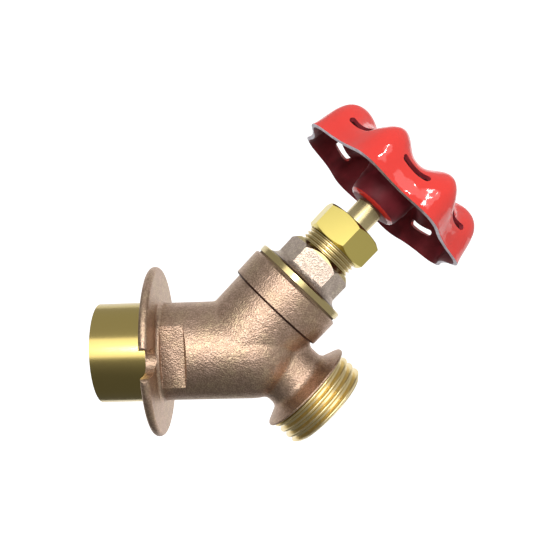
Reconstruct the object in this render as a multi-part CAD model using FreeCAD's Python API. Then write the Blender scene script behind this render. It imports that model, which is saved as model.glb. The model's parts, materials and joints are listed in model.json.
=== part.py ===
import FreeCAD, Part
import math
import os

os.makedirs("parts", exist_ok=True)
Vector = FreeCAD.Vector

# Driving dimensions in millimetres.
# Heights "s" run up the stem axis and "o" out along the outlet axis.

# Inlet stub and solder cup
STUB_R = 13.9
CUP_R = 11.16
CUP_DEPTH = 16.2
INLET_BORE_R = 8.0
INLET_BORE_END_X = 26.7

# Wall flange with its two open screw slots
FLANGE_X = 14.9
FLANGE_R = 23.65
FLANGE_THICKNESS = 2.4
FLANGE_FILLET = 1.3
SLOT_WIDTH = 7.0
SLOT_CORNER = 1.5

# Barrel and wrench flats
BARREL_R = 13.65
BARREL_END_X = 42.0
FLAT_Y = 10.85
FLAT_START = 1.0
FLAT_LENGTH = 6.2
FLAT_DRAFT = 1.0

# Neck and collar that take the bonnet, on the stem axis
BRANCH_ANGLE = 45.0
STEM_X = 37.5
NECK_STEP = 0.3
COLLAR_STEP = 1.05
COLLAR_S = 16.0
COLLAR_HEIGHT = 8.1
COLLAR_CHAMFER = 0.5
COLLAR_ROOT_ROUND = 0.4
CHAMBER_R = 10.2
SPIGOT_BORE_R = 11.8
SPIGOT_BORE_DEPTH = 8.8
NECK_FILLET = 2.0

# Valve seat
SEAT_S = 1.5
SEAT_BORE_R = 6.0
SEAT_RIDGE = 1.4
SEAT_RIDGE_HEIGHT = 1.2
SEAT_WELL_DEPTH = 7.5
THROAT_MOUTH_R = 7.2
THROAT_R = 5.8
THROAT_DROP = 3.2

# Outlet with its hose thread
OUTLET_X = 45.55
OUTLET_NECK_R = 9.2
OUTLET_BORE_R = 6.7
OUTLET_BORE_START = 3.3
LIP_O = 15.25
LIP_R = 14.3
LIP_THICKNESS = 0.7
LIP_FLARE = 2.4
LIP_SLOPE = 24.0
HOSE_THREAD_R = 13.495
HOSE_THREAD_LENGTH = 8.0
HOSE_THREAD_CHAMFER = 0.7
MOUTH_R = 9.3
MOUTH_DEPTH = 7.0
OUTLET_FILLET = 2.2

# Bonnet
THREAD_CLEARANCE = 0.05
SPIGOT_LENGTH = 7.4
GASKET_THICKNESS = 0.6
GASKET_R = 13.5
RING_R = 13.9
RING_HEIGHT = 1.8
RING_CHAMFER = 0.3
DOME_R = 12.3
DOME_HEIGHT = 1.85
BONNET_HEX_FLATS = 17.2
BONNET_HEX_HEIGHT = 4.7
BONNET_HEX_CHAMFER = 1.75
BONNET_HEX_TURN = -4.0
GLAND_NECK_R = 7.85
GLAND_NECK_LENGTH = 8.7
STUFFING_BOX_R = 6.1
STUFFING_BOX_DEPTH = 9.8
BACKSEAT_THICKNESS = 1.6

# Stem
STEM_R = 3.8
STEM_THREAD_R = 5.0
STEM_THREAD_LENGTH = 15.5
RUNNING_CLEARANCE = 0.08
SHANK_CLEARANCE = 0.1
THREAD_LEAD = 2.54
TURNS = 3
DISC_R = 8.6
DISC_HEIGHT = 3.3
DISC_LIP = 1.6
DISC_CHAMFER = 0.8
DISC_CONE_HEIGHT = 1.2
STEM_CHAMFER = 0.6
BACKSEAT_GAP = 0.5
WHEEL_SQUARE = 5.3
SQUARE_CLEARANCE = 0.04
SQUARE_SHORTFALL = 0.2

# Seat washer and its screw
WASHER_R = 7.8
WASHER_THICKNESS = 3.2
WASHER_SIDE_CLEARANCE = 0.1
WASHER_SCREW_R = 2.1
WASHER_SCREW_LENGTH = 9.0
WASHER_SCREW_HEAD_R = 3.9
WASHER_SCREW_HEAD_HEIGHT = 1.9
WASHER_SCREW_CROWN = 0.8
SCREW_SLOT_WIDTH = 1.0
SCREW_SLOT_DEPTH = 0.9
SCREW_CLEARANCE = 0.05

# Packing, gland and packing nut
PACKING_WASHER_THICKNESS = 0.8
PACKING_HEIGHT = 5.4
PACKING_SIDE_CLEARANCE = 0.05
GLAND_HEAD_R = 7.3
GLAND_HEAD_HEIGHT = 1.0
NUT_S = 38.5
NUT_HEIGHT = 7.8
NUT_FLATS = 16.8
NUT_TURN = 36.0
NUT_ROOF = 1.6
NUT_CHAMFER = 0.9

# Stamped handwheel
WHEEL_S = 52.2
LOBES = 8
POINTS_PER_LOBE = 6
LOBE_SHARPNESS = 1.25
HUB_RINGS = 7
SHEET = 1.0
HUB_R = 7.5
HUB_TOP_R = 9.0
RIM_LIFT = 3.2
RIM_LOBE_R = 27.0
RIM_VALLEY_R = 24.3
CREST_R = 18.4
CREST_HEIGHT = 11.6
VALLEY_HEIGHT = 8.2
WINDOW_LENGTH = 8.2
WINDOW_WIDTH = 1.7
WINDOW_R = 22.2
WINDOW_DROP = 2.4
WINDOW_TILT = 45.0

# Handwheel screw and lock washer
LOCK_WASHER_R = 4.6
LOCK_WASHER_THICKNESS = 0.9
LOCK_WASHER_GAP = 0.8
WHEEL_SCREW_R = 2.1
WHEEL_SCREW_LENGTH = 11.0
WHEEL_SCREW_HEAD_R = 4.1
WHEEL_SCREW_HEAD_HEIGHT = 2.6
WHEEL_SCREW_CROWN = 1.1

# Places that follow from the sizes above
FLANGE_FRONT = FLANGE_X + FLANGE_THICKNESS
NECK_R = BARREL_R - NECK_STEP
COLLAR_R = NECK_R + COLLAR_STEP
OUTLET_OFFSET = (OUTLET_X - STEM_X) * math.sin(math.radians(BRANCH_ANGLE))
THREAD_O = LIP_O + LIP_THICKNESS
LIP_EDGE_R = LIP_R - LIP_THICKNESS / 2
FLARE_TURN = math.radians(90 - LIP_SLOPE)
FLARE_TOP_R = OUTLET_NECK_R + LIP_FLARE * (1 - math.cos(FLARE_TURN))
FLARE_TOP_O = LIP_O - (LIP_EDGE_R - FLARE_TOP_R) / math.tan(FLARE_TURN)
FLARE_START_O = FLARE_TOP_O - LIP_FLARE * math.sin(FLARE_TURN)
MOUTH_O = THREAD_O + HOSE_THREAD_LENGTH
COLLAR_TOP = COLLAR_S + COLLAR_HEIGHT
GASKET_TOP = COLLAR_TOP + GASKET_THICKNESS
SPIGOT_R = SPIGOT_BORE_R - THREAD_CLEARANCE
SPIGOT_END = GASKET_TOP - SPIGOT_LENGTH
RING_TOP = GASKET_TOP + RING_HEIGHT
HEX_TOP = RING_TOP + DOME_HEIGHT + BONNET_HEX_HEIGHT + BONNET_HEX_CHAMFER
NECK_TOP = HEX_TOP + GLAND_NECK_LENGTH
BOX_FLOOR = NECK_TOP - STUFFING_BOX_DEPTH
BACKSEAT_S = BOX_FLOOR - BACKSEAT_THICKNESS
LIFT = THREAD_LEAD * TURNS
WASHER_TOP = SEAT_S + WASHER_THICKNESS
DISC_TOP = WASHER_TOP + DISC_HEIGHT
STEM_SHOULDER = BACKSEAT_S - LIFT - BACKSEAT_GAP
WHEEL_FLOOR_TOP = WHEEL_S + SHEET
RIM_S = WHEEL_S + RIM_LIFT
NUT_TOP = NUT_S + NUT_HEIGHT
NUT_ROOF_S = NUT_TOP - NUT_ROOF
GLAND_HEAD_S = NUT_ROOF_S - GLAND_HEAD_HEIGHT

# Local frames: Z runs along the inlet, up the stem or out of the outlet
UP_Y = Vector(0, 1, 0)
INLET_FRAME = FreeCAD.Placement(Vector(0, 0, 0), FreeCAD.Rotation(UP_Y, 90))
STEM_FRAME = FreeCAD.Placement(Vector(STEM_X, 0, 0), FreeCAD.Rotation(UP_Y, BRANCH_ANGLE))
OUTLET_FRAME = FreeCAD.Placement(Vector(OUTLET_X, 0, 0), FreeCAD.Rotation(UP_Y, BRANCH_ANGLE + 90))


def placed(shape, frame):
    """The shape moved from its local frame into the part's frame."""
    moved = shape.copy()
    moved.Placement = frame.multiply(moved.Placement)
    return moved


def rod(radius, low, high):
    """A round bar about local Z between two heights."""
    return Part.makeCylinder(radius, high - low, Vector(0, 0, low))


def ring(outer, inner, low, high):
    """A flat ring about local Z."""
    return rod(outer, low, high).cut(rod(inner, low - 1, high + 1))


def turned(profile):
    """A solid turned about local Z from a closed profile.

    Corners are (radius, height). A third value in a corner is a point that
    the edge coming to it passes through, which makes that edge an arc.
    """
    edges = []
    for start, end in zip(profile, profile[1:] + profile[:1]):
        a = Vector(start[0], 0, start[1])
        b = Vector(end[0], 0, end[1])
        if len(end) == 3:
            through = Vector(end[2][0], 0, end[2][1])
            edges.append(Part.Arc(a, through, b).toShape())
        else:
            edges.append(Part.LineSegment(a, b).toShape())
    face = Part.Face(Part.Wire(edges))
    return face.revolve(Vector(0, 0, 0), Vector(0, 0, 1), 360)


def hexagon(flats, low, high, turn=0.0):
    """A hexagonal bar about local Z, one flat facing local -Y when turn is 0."""
    corner_r = flats / math.sqrt(3)
    corners = []
    for k in range(6):
        a = math.radians(60 * k + turn)
        corners.append(Vector(corner_r * math.cos(a), corner_r * math.sin(a), low))
    face = Part.Face(Part.makePolygon(corners + corners[:1]))
    return face.extrude(Vector(0, 0, high - low))


def chamfered_hexagon(flats, low, high, turn, bottom, top):
    """A hexagonal bar whose corners are turned off in a cone at one or both ends."""
    corner_r = flats / math.sqrt(3) + 0.01
    flat_r = flats / 2 - 0.2
    profile = [(0, low), (flat_r if bottom else corner_r, low)]
    if bottom:
        profile.append((corner_r, low + bottom))
    if top:
        profile.append((corner_r, high - top))
    profile += [(flat_r if top else corner_r, high), (0, high)]
    return hexagon(flats, low, high, turn).common(turned(profile))


def edges_near(shape, test):
    """The curved edges, longer than a sliver, whose middle passes a test on its place."""
    found = []
    for edge in shape.Edges:
        middle = edge.valueAt((edge.FirstParameter + edge.LastParameter) / 2)
        seam = isinstance(edge.Curve, Part.Line)
        if edge.Length > 1 and not seam and test(middle):
            found.append(edge)
    return found


def quarter_point(radius):
    """How far the middle of a quarter arc lies from the corner that it rounds."""
    return radius * (1 - math.sqrt(0.5))


def inlet_outside():
    """The stub, the flange with its full round rim, the barrel and its ball end, turned as one."""
    half = FLANGE_THICKNESS / 2
    flat_r = FLANGE_R - half
    turn = quarter_point(FLANGE_FILLET)
    ball = BARREL_R * math.sqrt(0.5)
    outside = turned([
        (0, 0),
        (STUB_R, 0),
        (STUB_R, FLANGE_X),
        (flat_r, FLANGE_X),
        (flat_r, FLANGE_FRONT, (FLANGE_R, FLANGE_X + half)),
        (BARREL_R + FLANGE_FILLET, FLANGE_FRONT),
        (BARREL_R, FLANGE_FRONT + FLANGE_FILLET, (BARREL_R + turn, FLANGE_FRONT + turn)),
        (BARREL_R, BARREL_END_X),
        (0, BARREL_END_X + BARREL_R, (ball, BARREL_END_X + ball)),
    ])
    return placed(outside, INLET_FRAME)


def flange_slots():
    """The two open screw slots with rounded mouths, cut in from the flange's sides to the stub."""
    half = SLOT_WIDTH / 2
    depth = FLANGE_THICKNESS + FLANGE_FILLET + 2
    back = FLANGE_X - 1
    along = Vector(1, 0, 0)
    mouth_y = math.sqrt(FLANGE_R ** 2 - half ** 2)
    tools = []
    for side in (-1, 1):
        end_y = side * (STUB_R + half)
        end = Part.makeCylinder(half, depth, Vector(back, end_y, 0), along)
        reach = FLANGE_R - abs(end_y) + 1
        low_y = min(end_y, end_y + side * reach)
        way_out = Part.makeBox(depth, reach, SLOT_WIDTH, Vector(back, low_y, -half))
        tools.append(end.fuse(way_out))
        corner_y = side * (mouth_y - SLOT_CORNER)
        low_y = min(corner_y, side * (FLANGE_R + 1))
        flare_width = SLOT_WIDTH + 2 * SLOT_CORNER
        flare_start = Vector(back, low_y, -flare_width / 2)
        flare = Part.makeBox(depth, FLANGE_R + 1 - abs(corner_y), flare_width, flare_start)
        rounds = [Part.makeCylinder(SLOT_CORNER, depth, Vector(back, corner_y, z), along)
                  for z in (-flare_width / 2, flare_width / 2)]
        tools.append(flare.cut(rounds))
    return tools[0].fuse(tools[1:])


def wrench_flats():
    """What is cut from the barrel to leave its two flats, with drafted ends."""
    start = FLANGE_FRONT + FLAT_START
    end = start + FLAT_LENGTH
    tools = []
    for side in (-1, 1):
        corners = [
            Vector(start, side * FLAT_Y, -BARREL_R),
            Vector(end, side * FLAT_Y, -BARREL_R),
            Vector(end + FLAT_DRAFT, side * BARREL_R * 1.01, -BARREL_R),
            Vector(start, side * BARREL_R * 1.01, -BARREL_R),
        ]
        face = Part.Face(Part.makePolygon(corners + corners[:1]))
        tools.append(face.extrude(Vector(0, 0, 2 * BARREL_R)))
    return tools[0].fuse(tools[1])


def outlet_outside():
    """The outlet from inside the barrel to the hose thread, with its flared lip."""
    half_turn = FLARE_TURN / 2
    halfway = (OUTLET_NECK_R + LIP_FLARE * (1 - math.cos(half_turn)),
               FLARE_START_O + LIP_FLARE * math.sin(half_turn))
    profile = [
        (0, -OUTLET_OFFSET),
        (OUTLET_NECK_R, -OUTLET_OFFSET),
        (OUTLET_NECK_R, FLARE_START_O),
        (FLARE_TOP_R, FLARE_TOP_O, halfway),
        (LIP_EDGE_R, LIP_O),
        (LIP_EDGE_R, THREAD_O, (LIP_R, LIP_O + LIP_THICKNESS / 2)),
        (HOSE_THREAD_R, THREAD_O),
        (HOSE_THREAD_R, MOUTH_O - HOSE_THREAD_CHAMFER),
        (HOSE_THREAD_R - HOSE_THREAD_CHAMFER, MOUTH_O),
        (0, MOUTH_O),
    ]
    return placed(turned(profile), OUTLET_FRAME)


def neck_outside():
    """The neck and the wider collar at its top that the bonnet screws into."""
    turn = quarter_point(COLLAR_ROOT_ROUND)
    outside = turned([
        (0, 0),
        (NECK_R, 0),
        (NECK_R, COLLAR_S),
        (COLLAR_R - COLLAR_ROOT_ROUND, COLLAR_S),
        (COLLAR_R, COLLAR_S + COLLAR_ROOT_ROUND, (COLLAR_R - turn, COLLAR_S + turn)),
        (COLLAR_R, COLLAR_TOP - COLLAR_CHAMFER),
        (COLLAR_R - COLLAR_CHAMFER, COLLAR_TOP),
        (0, COLLAR_TOP),
    ])
    return placed(outside, STEM_FRAME)


def waterway():
    """Everything hollow inside the body, as one solid to cut away."""
    cup = rod(CUP_R, -1, CUP_DEPTH)
    inlet = placed(cup.fuse(rod(INLET_BORE_R, CUP_DEPTH - 1, INLET_BORE_END_X)), INLET_FRAME)
    well_centre = STEM_FRAME.multVec(Vector(0, 0, SEAT_S - SEAT_WELL_DEPTH))
    x_axis = Vector(1, 0, 0)
    wide = Part.Wire(Part.makeCircle(THROAT_MOUTH_R, Vector(INLET_BORE_END_X - 1, 0, 0), x_axis))
    narrow = Part.Wire(Part.makeCircle(THROAT_R, Vector(well_centre.x, 0, -THROAT_DROP), x_axis))
    throat = Part.makeLoft([wide, narrow], True, True)
    well = Part.makeSphere(SEAT_BORE_R, well_centre)
    floor_s = SEAT_S - SEAT_RIDGE_HEIGHT
    seat_bore = rod(SEAT_BORE_R, SEAT_S - SEAT_WELL_DEPTH, SEAT_S + 1)
    chamber = rod(CHAMBER_R, floor_s, COLLAR_TOP)
    ridge = ring(SEAT_BORE_R + SEAT_RIDGE, SEAT_BORE_R, floor_s - 1, SEAT_S)
    socket = rod(SPIGOT_BORE_R, COLLAR_TOP - SPIGOT_BORE_DEPTH, COLLAR_TOP + 1)
    stem_side = placed(chamber.cut(ridge).fuse([seat_bore, socket]), STEM_FRAME)
    outlet = rod(OUTLET_BORE_R, OUTLET_BORE_START, MOUTH_O).fuse(
        rod(MOUTH_R, MOUTH_O - MOUTH_DEPTH, MOUTH_O + 1))
    return inlet.fuse([throat, well, stem_side, placed(outlet, OUTLET_FRAME)])


def in_upper_crease(point):
    """Whether a point lies in the crease between the top of the barrel and the neck."""
    barrel_start = FLANGE_FRONT + FLANGE_FILLET
    return barrel_start + 1 < point.x < STEM_X and point.z > 0.9 * BARREL_R


def at_outlet_root(point):
    """Whether a point lies where the outlet's neck leaves the casting."""
    local = OUTLET_FRAME.inverse().multVec(point)
    off_neck = abs(math.hypot(local.x, local.y) - OUTLET_NECK_R)
    return off_neck < 0.1 and 0 < local.z < FLARE_START_O - 0.3


def body():
    """The cast body: stub, flange, barrel, neck, collar and outlet in one piece."""
    casting = inlet_outside().fuse(neck_outside())
    casting = casting.makeFillet(NECK_FILLET, edges_near(casting, in_upper_crease))
    casting = casting.fuse(outlet_outside())
    casting = casting.makeFillet(OUTLET_FILLET, edges_near(casting, at_outlet_root))
    casting = casting.cut(wrench_flats().fuse(flange_slots()))
    return casting.cut(waterway())


def gasket():
    """The flat ring between the collar and the bonnet."""
    return placed(ring(GASKET_R, SPIGOT_BORE_R, COLLAR_TOP, GASKET_TOP), STEM_FRAME)


def bonnet():
    """The bonnet: threaded spigot, ring, domed step, hexagon and gland neck."""
    dome_top = RING_TOP + DOME_HEIGHT
    corner_r = BONNET_HEX_FLATS / math.sqrt(3)
    waist_r = corner_r - 0.1
    base = turned([
        (0, SPIGOT_END),
        (SPIGOT_R - THREAD_CLEARANCE, SPIGOT_END),
        (SPIGOT_R, SPIGOT_END + 1),
        (SPIGOT_R, GASKET_TOP),
        (RING_R, GASKET_TOP),
        (RING_R, RING_TOP - RING_CHAMFER),
        (RING_R - RING_CHAMFER, RING_TOP),
        (DOME_R, RING_TOP),
        (waist_r, dome_top, (waist_r + 0.35 * (DOME_R - waist_r), RING_TOP + 0.35 * DOME_HEIGHT)),
        (0, dome_top),
    ])
    nut = chamfered_hexagon(BONNET_HEX_FLATS, RING_TOP, HEX_TOP, BONNET_HEX_TURN, 0, BONNET_HEX_CHAMFER)
    neck = rod(GLAND_NECK_R, RING_TOP, NECK_TOP)
    solid = base.fuse([nut, neck])
    solid = solid.cut(rod(STEM_THREAD_R + RUNNING_CLEARANCE, SPIGOT_END - 1, BACKSEAT_S))
    solid = solid.cut(rod(STEM_R + SHANK_CLEARANCE, BACKSEAT_S - 1, NECK_TOP))
    solid = solid.cut(rod(STUFFING_BOX_R, BOX_FLOOR, NECK_TOP + 1))
    return placed(solid, STEM_FRAME)


def packing_washer():
    """The brass ring that the packing rests on at the bottom of the stuffing box."""
    top = BOX_FLOOR + PACKING_WASHER_THICKNESS
    outer = STUFFING_BOX_R - PACKING_SIDE_CLEARANCE
    return placed(ring(outer, STEM_R + SHANK_CLEARANCE, BOX_FLOOR, top), STEM_FRAME)


def stem_packing():
    """The packing ring that seals the stem."""
    low = BOX_FLOOR + PACKING_WASHER_THICKNESS
    outer = STUFFING_BOX_R - PACKING_SIDE_CLEARANCE
    return placed(ring(outer, STEM_R + RUNNING_CLEARANCE, low, low + PACKING_HEIGHT), STEM_FRAME)


def packing_gland():
    """The follower that the packing nut presses down on the packing."""
    low = BOX_FLOOR + PACKING_WASHER_THICKNESS + PACKING_HEIGHT
    barrel_r = STUFFING_BOX_R - PACKING_SIDE_CLEARANCE
    solid = rod(barrel_r, low, GLAND_HEAD_S + 0.5).fuse(rod(GLAND_HEAD_R, GLAND_HEAD_S, NUT_ROOF_S))
    solid = solid.cut(rod(STEM_R + SHANK_CLEARANCE, low - 1, NUT_TOP))
    return placed(solid, STEM_FRAME)


def packing_nut():
    """The hexagonal nut over the gland neck, with a roof round the stem."""
    solid = chamfered_hexagon(NUT_FLATS, NUT_S, NUT_TOP, NUT_TURN, NUT_CHAMFER, NUT_CHAMFER)
    solid = solid.cut(rod(GLAND_NECK_R + THREAD_CLEARANCE, NUT_S - 1, NUT_ROOF_S))
    solid = solid.cut(rod(STEM_R + 2 * SHANK_CLEARANCE, NUT_ROOF_S - 1, NUT_TOP + 1))
    return placed(solid, STEM_FRAME)


def stem():
    """The stem: washer holder, thread, shank and the square that carries the wheel."""
    lip_s = WASHER_TOP - DISC_LIP
    solid = turned([
        (0, lip_s),
        (DISC_R, lip_s),
        (DISC_R, DISC_TOP - DISC_CHAMFER),
        (DISC_R - DISC_CHAMFER, DISC_TOP),
        (STEM_THREAD_R - STEM_CHAMFER, DISC_TOP + DISC_CONE_HEIGHT),
        (STEM_THREAD_R - STEM_CHAMFER, STEM_SHOULDER - STEM_THREAD_LENGTH),
        (STEM_THREAD_R, STEM_SHOULDER - STEM_THREAD_LENGTH + STEM_CHAMFER),
        (STEM_THREAD_R, STEM_SHOULDER - STEM_CHAMFER),
        (STEM_R, STEM_SHOULDER),
        (STEM_R, WHEEL_S),
        (0, WHEEL_S),
    ])
    half = WHEEL_SQUARE / 2
    square_top = WHEEL_FLOOR_TOP - SQUARE_SHORTFALL
    square = Part.makeBox(WHEEL_SQUARE, WHEEL_SQUARE, square_top - WHEEL_S + 1,
                          Vector(-half, -half, WHEEL_S - 1))
    solid = solid.fuse(square.common(rod(STEM_R, WHEEL_S - 1, square_top)))
    washer_seat = rod(WASHER_R + WASHER_SIDE_CLEARANCE, lip_s - 1, WASHER_TOP)
    lower_hole = rod(WASHER_SCREW_R + SCREW_CLEARANCE, lip_s, WASHER_TOP + WASHER_SCREW_LENGTH)
    upper_hole = rod(WHEEL_SCREW_R + SCREW_CLEARANCE, WHEEL_FLOOR_TOP - WHEEL_SCREW_LENGTH, square_top + 1)
    return placed(solid.cut(washer_seat.fuse([lower_hole, upper_hole])), STEM_FRAME)


def seat_washer():
    """The flat rubber washer that closes on the seat."""
    solid = ring(WASHER_R, WASHER_SCREW_R + SCREW_CLEARANCE, SEAT_S, WASHER_TOP)
    return placed(solid, STEM_FRAME)


def slotted_head(radius, low, high, crown, up):
    """A slotted round screw head, its crowned side facing up or down local Z."""
    if up:
        solid = turned([(0, low), (radius, low), (radius, high - crown),
                        (0, high, (radius * 0.55, high - crown * 0.3))])
        slot_low = high - SCREW_SLOT_DEPTH
    else:
        solid = turned([(0, high), (radius, high), (radius, low + crown),
                        (0, low, (radius * 0.55, low + crown * 0.3))])
        slot_low = low - 1
    slot = Part.makeBox(2 * radius + 2, SCREW_SLOT_WIDTH, SCREW_SLOT_DEPTH + 1,
                        Vector(-radius - 1, -SCREW_SLOT_WIDTH / 2, slot_low))
    return solid.cut(slot)


def washer_screw():
    """The brass screw that holds the washer in the stem's cup."""
    head_s = SEAT_S - WASHER_SCREW_HEAD_HEIGHT
    head = slotted_head(WASHER_SCREW_HEAD_R, head_s, SEAT_S, WASHER_SCREW_CROWN, False)
    shank = rod(WASHER_SCREW_R, SEAT_S - 0.5, WASHER_TOP + WASHER_SCREW_LENGTH - 1)
    return placed(head.fuse(shank), STEM_FRAME)


def lock_washer():
    """The split spring washer under the handwheel screw."""
    top = WHEEL_FLOOR_TOP + LOCK_WASHER_THICKNESS
    solid = ring(LOCK_WASHER_R, WHEEL_SCREW_R + SCREW_CLEARANCE, WHEEL_FLOOR_TOP, top)
    gap = Part.makeBox(LOCK_WASHER_R + 1, LOCK_WASHER_GAP, LOCK_WASHER_THICKNESS + 2,
                       Vector(0, -LOCK_WASHER_GAP / 2, WHEEL_FLOOR_TOP - 1))
    return placed(solid.cut(gap), STEM_FRAME)


def handwheel_screw():
    """The screw that clamps the handwheel to the stem."""
    low = WHEEL_FLOOR_TOP + LOCK_WASHER_THICKNESS
    head = slotted_head(WHEEL_SCREW_HEAD_R, low, low + WHEEL_SCREW_HEAD_HEIGHT, WHEEL_SCREW_CROWN, True)
    shank = rod(WHEEL_SCREW_R, WHEEL_FLOOR_TOP - WHEEL_SCREW_LENGTH + 1, low + 0.5)
    return placed(head.fuse(shank), STEM_FRAME)


def lobe_share(angle):
    """How far an angle round the wheel is into a lobe: 0 in a valley, 1 on a lobe."""
    wave = (1 - math.cos(LOBES * angle)) / 2
    return wave ** LOBE_SHARPNESS


def wheel_ring(valley, lobe):
    """A closed smooth ring round local Z, from valley and lobe (radius, height above the rim)."""
    count = LOBES * POINTS_PER_LOBE
    points = []
    for k in range(count):
        angle = 2 * math.pi * k / count
        share = lobe_share(angle)
        radius = valley[0] + share * (lobe[0] - valley[0])
        height = valley[1] + share * (lobe[1] - valley[1])
        points.append(Vector(radius * math.sin(angle), -radius * math.cos(angle), RIM_S + height))
    curve = Part.BSplineCurve()
    curve.interpolate(points, PeriodicFlag=True)
    return Part.Wire(curve.toShape())


def underside(profile):
    """The profile of the sheet's lower face, one sheet thickness below its upper one."""
    lower = []
    for k, (radius, height) in enumerate(profile):
        before = profile[max(k - 1, 0)]
        after = profile[min(k + 1, len(profile) - 1)]
        run = after[0] - before[0]
        rise = after[1] - before[1]
        length = math.hypot(run, rise)
        lower.append((radius + SHEET * rise / length, height - SHEET * run / length))
    return lower


def wheel_profiles():
    """The sheet's upper face from the hub floor out to the rim, in a valley and on a lobe."""
    floor = SHEET - RIM_LIFT
    wall_r = HUB_R - SHEET
    hub = [(WHEEL_SQUARE / 2, floor - 0.1), (wall_r - 2.2, floor - 0.05), (wall_r - 1.0, floor),
           (wall_r - 0.25, floor + 0.35), (wall_r, floor + 1.2), (wall_r + 0.15, floor + 2.4),
           (wall_r + 0.5, floor + 4.2)]
    shoulder = VALLEY_HEIGHT - WINDOW_DROP
    valley = hub + [
        (HUB_TOP_R, VALLEY_HEIGHT - 1.2),
        (HUB_TOP_R + 3, VALLEY_HEIGHT),
        (CREST_R, VALLEY_HEIGHT),
        (WINDOW_R, shoulder),
        (RIM_VALLEY_R - 0.7, shoulder / 2),
        (RIM_VALLEY_R, 0),
    ]
    lobe = hub + [
        (HUB_TOP_R, VALLEY_HEIGHT - 0.9),
        (HUB_TOP_R + 3, VALLEY_HEIGHT + 1.4),
        (CREST_R, CREST_HEIGHT),
        (RIM_LOBE_R - 3.9, CREST_HEIGHT - 1.8),
        (RIM_LOBE_R - 1.7, CREST_HEIGHT / 2),
        (RIM_LOBE_R, 0),
    ]
    return valley, lobe


def wheel_shell():
    """The pressed sheet before its holes are punched, as one closed solid."""
    valley, lobe = wheel_profiles()
    upper = [wheel_ring(*pair) for pair in zip(valley, lobe)]
    lower = [wheel_ring(*pair) for pair in zip(underside(valley), underside(lobe))]
    faces = []
    for rings in (upper, lower):
        for stretch in (rings[:HUB_RINGS], rings[HUB_RINGS - 1:]):
            faces += Part.makeLoft(stretch, False, False).Faces
    for end in (0, -1):
        faces += Part.makeLoft([upper[end], lower[end]], False, True).Faces
    shell = Part.makeShell(faces)
    shell.sewShape()
    return Part.Solid(shell)


def wheel_window():
    """The cutter for the window in the valley that faces local -Y."""
    half = WINDOW_WIDTH / 2
    run = WINDOW_LENGTH / 2 - half
    depth = 4 * SHEET
    slot = Part.makeBox(2 * run, WINDOW_WIDTH, depth, Vector(-run, -half, -depth / 2))
    for side in (-run, run):
        slot = slot.fuse(Part.makeCylinder(half, depth, Vector(side, 0, -depth / 2)))
    slot.rotate(Vector(0, 0, 0), Vector(1, 0, 0), WINDOW_TILT)
    slot.translate(Vector(0, -WINDOW_R, RIM_S + VALLEY_HEIGHT - WINDOW_DROP))
    return slot


def handwheel():
    """The wheel pressed from one sheet: lobed rim, funnel hub, windows and a square hole."""
    hole = WHEEL_SQUARE + 2 * SQUARE_CLEARANCE
    tools = [Part.makeBox(hole, hole, 4 * SHEET, Vector(-hole / 2, -hole / 2, WHEEL_S - SHEET))]
    for k in range(LOBES):
        window = wheel_window()
        window.rotate(Vector(0, 0, 0), Vector(0, 0, 1), 360 * k / LOBES)
        tools.append(window)
    return placed(wheel_shell().cut(tools), STEM_FRAME)


PIECES = {
    "body": body,
    "bonnet_gasket": gasket,
    "bonnet": bonnet,
    "packing_washer": packing_washer,
    "stem_packing": stem_packing,
    "packing_gland": packing_gland,
    "packing_nut": packing_nut,
    "stem": stem,
    "seat_washer": seat_washer,
    "washer_screw": washer_screw,
    "handwheel": handwheel,
    "lock_washer": lock_washer,
    "handwheel_screw": handwheel_screw,
}

for name, make in PIECES.items():
    shape = make()
    shape.exportStep(os.path.join("parts", name + ".step"))
    print(name, "solids", len(shape.Solids), "valid", shape.isValid(), "volume", round(shape.Volume))
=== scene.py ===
import json
import math

import bpy
from mathutils import Matrix, Vector

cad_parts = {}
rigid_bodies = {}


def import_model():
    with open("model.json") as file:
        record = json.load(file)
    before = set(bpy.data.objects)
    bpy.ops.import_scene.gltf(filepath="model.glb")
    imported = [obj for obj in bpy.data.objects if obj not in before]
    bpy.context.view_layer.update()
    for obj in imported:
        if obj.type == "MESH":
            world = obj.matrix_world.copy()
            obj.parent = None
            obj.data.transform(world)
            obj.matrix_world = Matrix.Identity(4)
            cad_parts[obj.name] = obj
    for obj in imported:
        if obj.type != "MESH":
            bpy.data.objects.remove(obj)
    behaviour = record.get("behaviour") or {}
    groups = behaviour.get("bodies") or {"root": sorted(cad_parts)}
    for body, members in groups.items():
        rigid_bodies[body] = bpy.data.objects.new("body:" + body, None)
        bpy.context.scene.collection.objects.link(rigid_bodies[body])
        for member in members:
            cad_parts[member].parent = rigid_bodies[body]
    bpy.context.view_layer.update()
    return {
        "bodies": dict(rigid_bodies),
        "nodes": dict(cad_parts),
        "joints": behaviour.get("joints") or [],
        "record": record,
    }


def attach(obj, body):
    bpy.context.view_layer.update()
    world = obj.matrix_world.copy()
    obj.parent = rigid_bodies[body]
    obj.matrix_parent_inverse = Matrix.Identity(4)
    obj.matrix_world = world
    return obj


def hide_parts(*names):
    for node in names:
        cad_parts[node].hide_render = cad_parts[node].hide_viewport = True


MM = 0.001

# Places of the valve's axes, in millimetres as in the part's source
STEM_X = 37.5
OUTLET_X = 45.55
BRANCH_ANGLE = 45.0

# Outlet thread, its heights counted out along the outlet axis
THREAD_START = 15.95
MOUTH = 23.95
HOSE_THREAD_R = 13.47
HOSE_THREAD_ROOT_R = 12.3
HOSE_THREAD_PITCH = 2.209
MOUTH_CHAMFER = 0.7
MOUTH_R = 9.3
OUTLET_ROOT = 10.0

# Thread on the gland neck, its heights counted up the stem axis
GLAND_THREAD_START = 34.8
GLAND_THREAD_END = 43.5
GLAND_THREAD_R = 7.84
GLAND_THREAD_ROOT_R = 7.25
GLAND_THREAD_PITCH = 1.06
GLAND_THREAD_CHAMFER = 0.3
GLAND_CORE_R = 7.0

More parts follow.
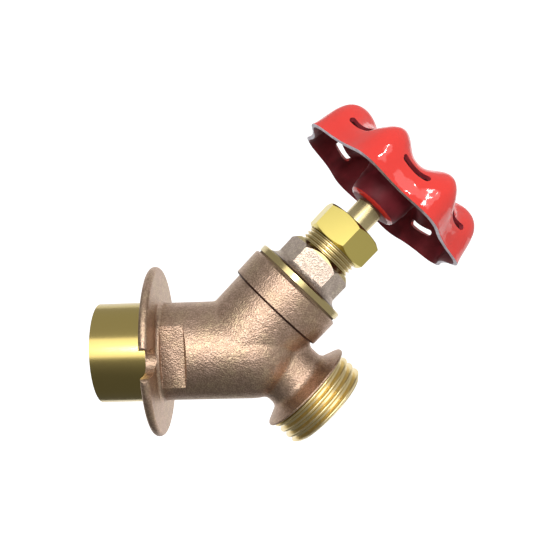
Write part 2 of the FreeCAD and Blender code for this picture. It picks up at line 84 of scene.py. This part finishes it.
# Both threads: their profile over one pitch, as shares of the pitch and of the thread's depth, the
# steps of a turn, and how much wider than the thread the blank is that trims it
THREAD_PROFILE = ((0, 0), (0.13, 0), (0.34, 0.8), (0.39, 0.95), (0.45, 1), (0.55, 1),
                  (0.61, 0.95), (0.66, 0.8), (0.87, 0), (1, 0))
THREAD_STEPS = 96
BLANK_SPARE = 0.5
ROUND_SEGMENTS = 128

# Handwheel and the seam under the collar, their heights counted up the stem axis
RIM_S = 55.4
WHEEL_FOOT_S = 52.2
WHEEL_FOOT_HEIGHT = 0.9
WHEEL_HUB_R = 10.5
COLLAR_S = 16.0

# Where one finish gives way to the next, in millimetres along the inlet, the stem and the outlet
STUB_FINISH = (14.7, 14.85)
RING_FINISH = (26.5, 26.6)
GLAND_FINISH = (33.6, 34.0)
THREAD_FINISH = (THREAD_START - 0.1, THREAD_START)
# The bands under the collar and where the ring meets the hexagon are darkened with painted shade
COLLAR_CREVICE = (COLLAR_S - 0.1, COLLAR_S + 0.4)
RING_CREVICE = (26.45, 26.75)
CREVICE_EDGE = 0.1

# Patterns in the surfaces, in millimetres, and the roughness of the castings and the colour of their painted
# shade
LATHE_LINE = 0.14
FINE_GRAIN = 0.42
COARSE_GRAIN = 1.6
COARSE_SHARE = 0.4
GRAIN_DEPTH = 0.15
LATHE_DEPTH = 0.006
BRASS_LATHE_DEPTH = 0.003
ENAMEL_WAVE = 3.0
ENAMEL_WAVE_DEPTH = 0.2
CAST_ROUGHNESS = 0.42
TURNED_ROUGHNESS = 0.2
CREVICE_SHADE_COLOUR = "#523B32"

# Numbers of the mix node's sockets: share, first, second and result
MIX_SOCKETS = {"RGBA": (0, 6, 7, 2), "VECTOR": (0, 4, 5, 1)}

# Photograph's camera: place in millimetres, angles in degrees, lens for a 36 mm sensor
CAMERA_PLACE = (46.6, -165.8, 24.0)
CAMERA_ANGLES = (80.62, 2.03, 3.53)
CAMERA_LENS = 38.63
CAMERA_SHIFT = (0.0920, 0.1465)

# Studio, places in metres; the room is pale above and to the right, and darker below and to the left
SKY_LIGHT = 0.54
GROUND_LIGHT = 0.15
ROOM_TILT = 1.2
ROOM_FADE = (-1.05, 0.3)
STAGE_GLOW = 0.8
FLOOR_HEIGHT = -0.25
FLOOR_FRONT = 0.25
BACKDROP_DISTANCE = 1.5

# Lamps: name, place, target, width and height in metres, and power in watts
LAMPS = (
    ("key", (0.04, -0.48, 0.17), (0.05, 0, 0.02), 0.8, 0.4, 2.0),
    ("front lamp", (-0.03, -0.42, 0.12), (0.05, 0, 0.02), 0.07, 0.07, 0.34),
    ("small lamp", (0.256, -0.357, 0.285), (0.07, 0, 0.03), 0.04, 0.04, 0.25),
)


def branch_frame(x, angle):
    """The frame of an axis that leaves the inlet's at x, in millimetres, turned about Y in degrees."""
    return Matrix.Translation((x * MM, 0, 0)) @ Matrix.Rotation(math.radians(angle), 4, "Y")


INLET_FRAME = branch_frame(0, 90)
STEM_FRAME = branch_frame(STEM_X, BRANCH_ANGLE)
OUTLET_FRAME = branch_frame(OUTLET_X, BRANCH_ANGLE + 90)


def only(piece):
    """Selects this piece alone and makes it active."""
    bpy.ops.object.select_all(action="DESELECT")
    piece.select_set(True)
    bpy.context.view_layer.objects.active = piece


def linear(code):
    """The linear colour of an sRGB hex code, with full alpha."""
    channels = [int(code[i:i + 2], 16) / 255 for i in (1, 3, 5)]
    return [c / 12.92 if c <= 0.04045 else ((c + 0.055) / 1.055) ** 2.4 for c in channels] + [1.0]


def feed(tree, socket, value):
    """Links another socket to an input socket, or sets the input to a value."""
    if isinstance(value, bpy.types.NodeSocket):
        tree.links.new(value, socket)
    else:
        socket.default_value = value


def add_node(tree, kind, settings=None, **inputs):
    """A shader node with its settings and its inputs, named with _ in place of each space."""
    node = tree.nodes.new(kind)
    for name, value in (settings or {}).items():
        setattr(node, name, value)
    for name, value in inputs.items():
        feed(tree, node.inputs[name.replace("_", " ")], value)
    return node


def new_material(name):
    """A material and its node tree, with only the output left in it."""
    material = bpy.data.materials.new(name)
    material.use_nodes = True
    tree = material.node_tree
    for node in list(tree.nodes):
        if node.type != "OUTPUT_MATERIAL":
            tree.nodes.remove(node)
    return material, tree


def finish_surface(tree, **inputs):
    """Gives a material its principled shader."""
    shader = add_node(tree, "ShaderNodeBsdfPrincipled", **inputs)
    output = next(n for n in tree.nodes if n.type == "OUTPUT_MATERIAL")
    feed(tree, output.inputs[0], shader.outputs[0])


def place_of(tree):
    """The point being shaded, in the part's own frame."""
    return add_node(tree, "ShaderNodeTexCoord").outputs["Object"]


def height_along(tree, frame, point):
    """How far a point lies along a frame's own Z axis, in metres."""
    axis = frame.to_3x3() @ Vector((0, 0, 1))
    dot = add_node(tree, "ShaderNodeVectorMath", {"operation": "DOT_PRODUCT"})
    feed(tree, dot.inputs[0], point)
    feed(tree, dot.inputs[1], axis)
    return combine(tree, "SUBTRACT", dot.outputs["Value"], frame.translation.dot(axis))


def step(tree, value, low, high):
    """A smooth mask that goes from 0 at low to 1 at high."""
    return add_node(tree, "ShaderNodeMapRange", {"interpolation_type": "SMOOTHSTEP"}, Value=value,
                    From_Min=low, From_Max=high).outputs[0]


def combine(tree, operation, a, b):
    """Two masks or numbers combined by a math operation."""
    node = add_node(tree, "ShaderNodeMath", {"operation": operation})
    for socket, value in zip(node.inputs, (a, b)):
        feed(tree, socket, value)
    return node.outputs[0]


def mix(tree, kind, share, a, b):
    """One colour or vector where share is 0 and another where it is 1."""
    node = add_node(tree, "ShaderNodeMix", {"data_type": kind})
    *places, result = MIX_SOCKETS[kind]
    for place, value in zip(places, (share, a, b)):
        feed(tree, node.inputs[place], value)
    return node.outputs[result]


def mix_number(tree, share, a, b):
    """One number where share is 0 and another where it is 1."""
    return add_node(tree, "ShaderNodeMapRange", Value=share, To_Min=a, To_Max=b).outputs[0]


def blend(tree, height, low, high):
    """A smooth mask that goes from 0 to 1 between two heights, in millimetres."""
    return step(tree, height, low * MM, high * MM)


def band(tree, height, low, high):
    """A soft mask that is 1 between two heights, in millimetres."""
    rise = blend(tree, height, low - CREVICE_EDGE, low)
    fall = blend(tree, height, high, high + CREVICE_EDGE)
    return combine(tree, "SUBTRACT", rise, fall)


def turning_marks(tree, frame, point):
    """Fine lathe lines round a frame's axis, as a height."""
    along = height_along(tree, frame, point)
    scaled = combine(tree, "MULTIPLY", along, 1 / (LATHE_LINE * MM))
    return add_node(tree, "ShaderNodeTexNoise", {"noise_dimensions": "1D"}, W=scaled, Scale=1.0,
                    Detail=2.0).outputs[0]


def cast_grain(tree, point):
    """The grain that sand leaves on a casting, as a height."""
    fine = add_node(tree, "ShaderNodeTexNoise", Vector=point, Scale=1 / (FINE_GRAIN * MM),
                    Detail=1.5, Roughness=0.5)
    coarse = add_node(tree, "ShaderNodeTexNoise", Vector=point, Scale=1 / (COARSE_GRAIN * MM), Detail=1.0)
    return combine(tree, "ADD", fine.outputs[0], combine(tree, "MULTIPLY", coarse.outputs[0], COARSE_SHARE))


def clouded(tree, point, size, low, high, a, b):
    """One colour in clouds on another, a below the noise's low value and b above its high one."""
    cloud = add_node(tree, "ShaderNodeTexNoise", Vector=point, Scale=1 / (size * MM), Detail=3.0)
    return mix(tree, "RGBA", step(tree, cloud.outputs[0], low, high), a, b)


def cast_bronze(machined, pale, warm, grain_shade, turned_code):
    """Sand-cast bronze: a soft grain that breaks up the highlights, with painted shade in the low spots of
    its grain.

    It is bright and turned where the machined mask is 1, and darkened with painted shade in its grooves
    where the second of the masks is 1.
    """
    material, tree = new_material("sand cast bronze")
    point = place_of(tree)
    mask, painted_shade_mask, marks = machined(tree, point)
    height = cast_grain(tree, point)
    tint = clouded(tree, point, 5, 0.35, 0.7, linear(pale), linear(warm))
    # Darker where the grain is low: painted shade
    grained = mix(tree, "RGBA", step(tree, height, 0.55, 0.95), linear(grain_shade), tint)
    # Painted shade: the groove under the collar and the joint above the ring are darkened
    with_painted_shade = mix(tree, "RGBA", painted_shade_mask, grained, linear(CREVICE_SHADE_COLOUR))
    colour = mix(tree, "RGBA", mask, with_painted_shade, linear(turned_code))
    rough = mix_number(tree, mask, CAST_ROUGHNESS, TURNED_ROUGHNESS)
    grain = add_node(tree, "ShaderNodeBump", Strength=1.0, Distance=GRAIN_DEPTH * MM, Height=height)
    turned = add_node(tree, "ShaderNodeBump", Strength=1.0, Distance=LATHE_DEPTH * MM, Height=marks)
    normal = mix(tree, "VECTOR", mask, grain.outputs[0], turned.outputs[0])
    finish_surface(tree, Base_Color=colour, Metallic=1.0, Roughness=rough, Normal=normal)
    return material


def body_machining(tree, point):
    """Masks and lathe lines of the body: its stub and thread end are turned, the rest is as cast."""
    along_inlet = height_along(tree, INLET_FRAME, point)
    stub = combine(tree, "SUBTRACT", 1.0, blend(tree, along_inlet, *STUB_FINISH))
    along_outlet = height_along(tree, OUTLET_FRAME, point)
    thread = blend(tree, along_outlet, *THREAD_FINISH)
    # Painted shade in the groove under the collar, away from the outlet
    under_collar = band(tree, height_along(tree, STEM_FRAME, point), *COLLAR_CREVICE)
    clear_of_outlet = combine(tree, "LESS_THAN", along_outlet, OUTLET_ROOT * MM)
    painted_shade_mask = combine(tree, "MULTIPLY", under_collar, clear_of_outlet)
    marks = turning_marks(tree, INLET_FRAME, point)
    return combine(tree, "MAXIMUM", stub, thread), painted_shade_mask, marks


def bonnet_machining(tree, point):
    """Masks and lathe lines of the bonnet: its ring and gland neck are turned, its hexagon is as cast."""
    along = height_along(tree, STEM_FRAME, point)
    ring = combine(tree, "SUBTRACT", 1.0, blend(tree, along, *RING_FINISH))
    neck = blend(tree, along, *GLAND_FINISH)
    # Painted shade where the ring meets the hexagon
    painted_shade_mask = band(tree, along, *RING_CREVICE)
    return combine(tree, "MAXIMUM", ring, neck), painted_shade_mask, turning_marks(tree, STEM_FRAME, point)


def turned_brass(name, frame, code, roughness):
    """Bright brass turned or milled about a frame's axis, with lines that draw its highlights out."""
    material, tree = new_material(name)
    point = place_of(tree)
    marks = add_node(tree, "ShaderNodeBump", Strength=1.0, Distance=BRASS_LATHE_DEPTH * MM,
                     Height=turning_marks(tree, frame, point))
    finish_surface(tree, Base_Color=linear(code), Metallic=1.0, Roughness=roughness, Normal=marks.outputs[0])
    return material


def red_enamel():
    """Glossy red dip enamel, which settles in low waves that break up the lamps' reflections."""
    material, tree = new_material("red dip enamel")
    flow = add_node(tree, "ShaderNodeTexNoise", Vector=place_of(tree), Scale=1 / (ENAMEL_WAVE * MM),
                    Detail=1.0)
    wavy = add_node(tree, "ShaderNodeBump", Strength=1.0, Distance=ENAMEL_WAVE_DEPTH * MM,
                    Height=flow.outputs[0])
    finish_surface(tree, Base_Color=linear("#DE3A32"), Roughness=0.08, Normal=wavy.outputs[0])
    return material


def enamel_in_painted_shade():
    """The wheel's red enamel, darkened to paint the shade that falls inside the wheel."""
    material, tree = new_material("red enamel in painted shade")
    colour = clouded(tree, place_of(tree), 6, 0.4, 0.7, linear("#742028"), linear("#96303A"))
    finish_surface(tree, Base_Color=colour, Roughness=0.5, Specular_IOR_Level=0.25)
    return material


def worn_edge():
    """Sheet steel worn to a dull, faintly mauve grey along the wheel's cut edge."""
    material, tree = new_material("worn sheet steel")
    colour = clouded(tree, place_of(tree), 1.5, 0.35, 0.65, linear("#A79DA6"), linear("#C4BDC6"))
    finish_surface(tree, Base_Color=colour, Roughness=0.45, Metallic=0.6)
    return material


def plain(name, code, roughness, metallic=0.0):
    """A plain finish of one colour."""
    material, tree = new_material(name)
    finish_surface(tree, Base_Color=linear(code), Roughness=roughness, Metallic=metallic)
    return material


def profile_line(name, corners):
    """A line in the XZ plane through corners (radius, height), extruded point by point."""
    bpy.ops.object.select_all(action="DESELECT")
    first = Vector((corners[0][0] * MM, 0, corners[0][1] * MM))
    bpy.ops.mesh.primitive_plane_add(size=MM, location=(0, 0, 0))
    line = bpy.context.object
    line.name = line.data.name = name
    bpy.ops.object.mode_set(mode="EDIT")
    bpy.ops.mesh.select_mode(type="VERT")
    bpy.ops.mesh.select_all(action="SELECT")
    bpy.ops.mesh.merge(type="CENTER")
    bpy.ops.transform.translate(value=first)
    for start, end in zip(corners, corners[1:]):
        move = Vector(((end[0] - start[0]) * MM, 0, (end[1] - start[1]) * MM))
        bpy.ops.mesh.extrude_region_move(TRANSFORM_OT_translate={"value": move})
    bpy.ops.object.mode_set(mode="OBJECT")
    return line


def apply(piece, modifier):
    """Applies one modifier of a piece."""
    only(piece)
    bpy.ops.object.modifier_apply(modifier=modifier.name)


def boolean(piece, other, operation):
    """Cuts a piece with another, or keeps only what they share, and deletes the other."""
    cut = piece.modifiers.new("cut", "BOOLEAN")
    cut.operation = operation
    cut.solver = "EXACT"
    cut.object = other
    apply(piece, cut)
    bpy.data.objects.remove(other)


def rod(name, radius, low, high):
    """A round bar about the Z axis."""
    bpy.ops.object.select_all(action="DESELECT")
    bpy.ops.mesh.primitive_cylinder_add(vertices=ROUND_SEGMENTS, radius=radius * MM,
                                        depth=(high - low) * MM, location=(0, 0, (low + high) / 2 * MM))
    bar = bpy.context.object
    bar.name = bar.data.name = name
    bpy.ops.object.transform_apply()
    return bar


def threaded_ring(name, low, high, outer, root, pitch, bore, chamfer, frame):
    """A ring with a right-hand thread of rounded crests, chamfered at its far end, placed in a frame."""
    depth = outer - root
    start = low - 2 * pitch
    corners = [(root + depth * rise, start + pitch * share) for share, rise in THREAD_PROFILE]
    line = profile_line(name, corners)
    screw = line.modifiers.new("thread", "SCREW")
    screw.angle = math.tau
    screw.screw_offset = pitch * MM
    screw.iterations = math.ceil((high - low) / pitch) + 4
    screw.steps = screw.render_steps = THREAD_STEPS
    apply(line, screw)
    bpy.ops.object.mode_set(mode="EDIT")
    bpy.ops.mesh.select_all(action="SELECT")
    bpy.ops.mesh.remove_doubles(threshold=0.005 * MM)
    for height, clear in ((low, "inner"), (high + pitch, "outer")):
        bpy.ops.mesh.select_all(action="SELECT")
        bpy.ops.mesh.bisect(plane_co=(0, 0, height * MM), plane_no=(0, 0, 1), threshold=1e-7,
                            use_fill=True, clear_inner=clear == "inner", clear_outer=clear == "outer")
    bpy.ops.mesh.select_all(action="SELECT")
    bpy.ops.mesh.normals_make_consistent(inside=False)
    bpy.ops.object.mode_set(mode="OBJECT")
    blank = rod(name + "_blank", outer + BLANK_SPARE, low - 1, high)
    bevel_top(blank, high, chamfer + BLANK_SPARE)
    boolean(line, blank, "INTERSECT")
    boolean(line, rod(name + "_bore", bore, low - 2, high + 2), "DIFFERENCE")
    only(line)
    bpy.ops.object.shade_smooth_by_angle(angle=math.radians(35))
    line.matrix_world = frame
    bpy.ops.object.transform_apply()
    return line


def bevel_top(bar, height, width):
    """Chamfers the rim of a bar's upper end."""
    only(bar)
    bpy.ops.object.mode_set(mode="EDIT")
    bpy.ops.mesh.select_all(action="DESELECT")
    bpy.ops.object.mode_set(mode="OBJECT")
    for face in bar.data.polygons:
        face.select = face.normal.z > 0.9 and abs(face.center.z - height * MM) < 0.01 * MM
    bpy.ops.object.mode_set(mode="EDIT")
    bpy.ops.mesh.bevel(offset=width * MM, segments=1, affect="EDGES")
    bpy.ops.object.mode_set(mode="OBJECT")


def cad_copy(name, node):
    """A copy of a CAD node's mesh, merged, to be reworked into a piece of the scene."""
    piece = bpy.data.objects.new(name, frame["nodes"][node].data.copy())
    bpy.context.scene.collection.objects.link(piece)
    piece.data.name = name
    only(piece)
    bpy.ops.object.mode_set(mode="EDIT")
    bpy.ops.mesh.select_all(action="SELECT")
    bpy.ops.mesh.remove_doubles(threshold=0.001 * MM)
    bpy.ops.object.mode_set(mode="OBJECT")
    bpy.ops.mesh.customdata_custom_splitnormals_clear()
    bpy.ops.object.shade_smooth_by_angle(angle=math.radians(30))
    return piece


def delete_faces(piece, test):
    """Deletes the faces of a piece whose centre passes a test on its place."""
    only(piece)
    bpy.ops.object.mode_set(mode="EDIT")
    bpy.ops.mesh.select_mode(type="FACE")
    bpy.ops.mesh.select_all(action="DESELECT")
    bpy.ops.object.mode_set(mode="OBJECT")
    for face in piece.data.polygons:
        face.select = test(face.center)
    bpy.ops.object.mode_set(mode="EDIT")
    bpy.ops.mesh.delete(type="FACE")
    bpy.ops.object.mode_set(mode="OBJECT")


def bridge_open_ends(piece):
    """Closes a mesh whose two open ends face each other with a band between them."""
    only(piece)
    bpy.ops.object.mode_set(mode="EDIT")
    bpy.ops.mesh.select_mode(type="EDGE")
    bpy.ops.mesh.select_all(action="DESELECT")
    bpy.ops.mesh.select_non_manifold()
    bpy.ops.mesh.bridge_edge_loops()
    bpy.ops.object.mode_set(mode="OBJECT")


def tube(name, outer, inner, low, high, frame):
    """A plain tube about a frame's own Z axis."""
    bar = rod(name, outer, low, high)
    boolean(bar, rod(name + "_bore", inner, low - 1, high + 1), "DIFFERENCE")
    bar.matrix_world = frame
    only(bar)
    bpy.ops.object.transform_apply()
    return bar


def local_place(frame, point):
    """A point's distance from a frame's axis and its height along it, in millimetres."""
    local = (frame.inverted() @ point) / MM
    return math.hypot(local.x, local.y), local.z


def in_hose_thread(point):
    """Whether a point lies on the threaded end of the outlet or inside its mouth."""
    radius, height = local_place(OUTLET_FRAME, point)
    return height > THREAD_START - 0.02 and MOUTH_R - 0.05 < radius < HOSE_THREAD_R + 0.1


def dress_wheel(piece, enamel, shade_enamel, edge):
    """Gives the wheel its enamel, with painted shade on the sheet's underside and a worn cut edge.

    The sheet's underside faces outward on the hub and inward on the rim. The foot of the hub keeps
    the plain red enamel all round, without the painted shade.
    """
    give(piece, enamel, shade_enamel, edge)
    # Underside faces get the enamel darkened as painted shade, and the rim's downward cut edge gets the worn
    # steel
    painted_shade_slot, edge_slot = 1, 2
    hub_lean, rim_lean = -1.0, 0.6
    turn = STEM_FRAME.to_3x3().transposed()
    for face in piece.data.polygons:
        radius, height = local_place(STEM_FRAME, face.center)
        place = STEM_FRAME.inverted() @ face.center
        normal = turn @ face.normal
        outward = (place.x * normal.x + place.y * normal.y) / (radius * MM)
        lean = hub_lean if radius < WHEEL_HUB_R else rim_lean
        foot = height < WHEEL_FOOT_S + WHEEL_FOOT_HEIGHT and outward > 0.3
        at_rim = height < RIM_S + 0.05 and radius > 2 * WHEEL_HUB_R
        if at_rim and normal.z < -0.7:
            face.material_index = edge_slot
        elif normal.z + lean * outward < 0 and not foot:
            face.material_index = painted_shade_slot


def give(piece, *materials):
    """Gives a piece its materials."""
    piece.data.materials.clear()
    for material in materials:
        piece.data.materials.append(material)


def set_camera():
    """The photograph's camera."""
    data = bpy.data.cameras.new("photograph camera")
    data.lens = CAMERA_LENS
    data.sensor_width = 36
    data.shift_x, data.shift_y = CAMERA_SHIFT
    data.clip_start = 0.01
    camera = bpy.data.objects.new("photograph camera", data)
    camera.location = [v * MM for v in CAMERA_PLACE]
    camera.rotation_euler = [math.radians(a) for a in CAMERA_ANGLES]
    bpy.context.scene.collection.objects.link(camera)
    bpy.context.scene.camera = camera


def lamp(name, place, target, width, height, power):
    """A soft box aimed at a point, places in metres."""
    data = bpy.data.lights.new(name, "AREA")
    data.shape = "RECTANGLE"
    data.size = width
    data.size_y = height
    data.energy = power
    light = bpy.data.objects.new(name, data)
    light.location = place
    aim = Vector(target) - Vector(place)
    light.rotation_euler = aim.to_track_quat("-Z", "Y").to_euler()
    bpy.context.scene.collection.objects.link(light)


def seen_directly(tree):
    """1 for rays from the camera, from a mirror or through glass, 0 for the rest."""
    path = add_node(tree, "ShaderNodeLightPath")
    seen = combine(tree, "MAXIMUM", path.outputs["Is Camera Ray"], path.outputs["Is Transmission Ray"])
    return combine(tree, "MAXIMUM", seen, path.outputs["Is Glossy Ray"])


def set_world():
    """A plain room, pale above and to the right, and darker below and to the left."""
    world = bpy.data.worlds.new("studio")
    world.use_nodes = True
    tree = world.node_tree
    direction = add_node(tree, "ShaderNodeTexCoord").outputs["Generated"]
    parts = add_node(tree, "ShaderNodeSeparateXYZ", Vector=direction)
    rightward = combine(tree, "MULTIPLY", parts.outputs["X"], ROOM_TILT)
    paleness = combine(tree, "ADD", rightward, parts.outputs["Z"])
    background = next(n for n in tree.nodes if n.type == "BACKGROUND")
    light = mix_number(tree, step(tree, paleness, *ROOM_FADE), GROUND_LIGHT, SKY_LIGHT)
    feed(tree, background.inputs["Color"], (1, 1, 1, 1))
    feed(tree, background.inputs["Strength"], light)
    bpy.context.scene.world = world


def stage_plane(name, place, turn):
    """A pale matt plane of the studio, turned about X in degrees, and lifted to white where it is seen."""
    bpy.ops.object.select_all(action="DESELECT")
    bpy.ops.mesh.primitive_plane_add(size=2 * BACKDROP_DISTANCE, location=place,
                                     rotation=(math.radians(turn), 0, 0))
    plane = bpy.context.object
    plane.name = plane.data.name = name
    material, tree = new_material("pale " + name)
    strength = mix_number(tree, seen_directly(tree), 0.0, STAGE_GLOW)
    finish_surface(tree, Base_Color=linear("#EDEDED"), Roughness=0.9, Emission_Color=linear("#FFFFFF"),
                   Emission_Strength=strength)
    give(plane, material)


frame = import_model()
nodes = frame["nodes"]

bpy.context.scene.view_settings.view_transform = "Standard"
set_camera()
set_world()
stage_plane("floor", (0, FLOOR_FRONT + BACKDROP_DISTANCE, FLOOR_HEIGHT), 0)
stage_plane("backdrop", (0, BACKDROP_DISTANCE, 0), 90)
for setting in LAMPS:
    lamp(*setting)

# The third colour of each casting is painted shade in the low spots of its grain
body_metal = cast_bronze(body_machining, "#CFB09B", "#CDB594", "#AC907B", "#B8A464")
bonnet_metal = cast_bronze(bonnet_machining, "#D7C6B8", "#D3C5AE", "#B09E90", "#BFAD7A")
brass = turned_brass("turned brass", STEM_FRAME, "#CDBC8C", 0.26)
nut_brass = turned_brass("milled brass", STEM_FRAME, "#D8C670", 0.3)
thread_brass = turned_brass("threaded brass", OUTLET_FRAME, "#E9D5A0", 0.28)
steel = plain("zinc plated steel", "#A9ABAD", 0.3, 1.0)
rubber = plain("moulded rubber", "#1B1B1B", 0.7)
packing = plain("pressed graphite packing", "#37373A", 0.6)
fibre = plain("pressed gasket fibre", "#6E5A40", 0.8)

casting = cad_copy("valve_casting", "body")
delete_faces(casting, in_hose_thread)
bridge_open_ends(casting)
give(casting, body_metal)
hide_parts("body")
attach(casting, "valve")

hose_thread = threaded_ring("hose_thread", THREAD_START, MOUTH, HOSE_THREAD_R, HOSE_THREAD_ROOT_R,
                            HOSE_THREAD_PITCH, MOUTH_R, MOUTH_CHAMFER, OUTLET_FRAME)
give(hose_thread, thread_brass)
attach(hose_thread, "valve")

bonnet = cad_copy("bonnet_casting", "bonnet")
boolean(bonnet, tube("neck_cut", GLAND_THREAD_R + 1, GLAND_CORE_R, GLAND_THREAD_START + 0.01,
                     GLAND_THREAD_END + 1, STEM_FRAME), "DIFFERENCE")
give(bonnet, bonnet_metal)
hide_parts("bonnet")
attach(bonnet, "valve")

gland_thread = threaded_ring("gland_thread", GLAND_THREAD_START, GLAND_THREAD_END, GLAND_THREAD_R,
                             GLAND_THREAD_ROOT_R, GLAND_THREAD_PITCH, GLAND_CORE_R - 0.1,
                             GLAND_THREAD_CHAMFER, STEM_FRAME)
give(gland_thread, brass)
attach(gland_thread, "valve")

handwheel = cad_copy("enamelled_handwheel", "handwheel")
dress_wheel(handwheel, red_enamel(), enamel_in_painted_shade(), worn_edge())
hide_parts("handwheel")
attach(handwheel, "spindle")

for name, material in {
    "bonnet_gasket": fibre, "packing_washer": brass, "stem_packing": packing,
    "packing_gland": brass, "packing_nut": nut_brass, "stem": brass, "seat_washer": rubber,
    "washer_screw": brass, "lock_washer": steel, "handwheel_screw": steel,
}.items():
    give(nodes[name], material)
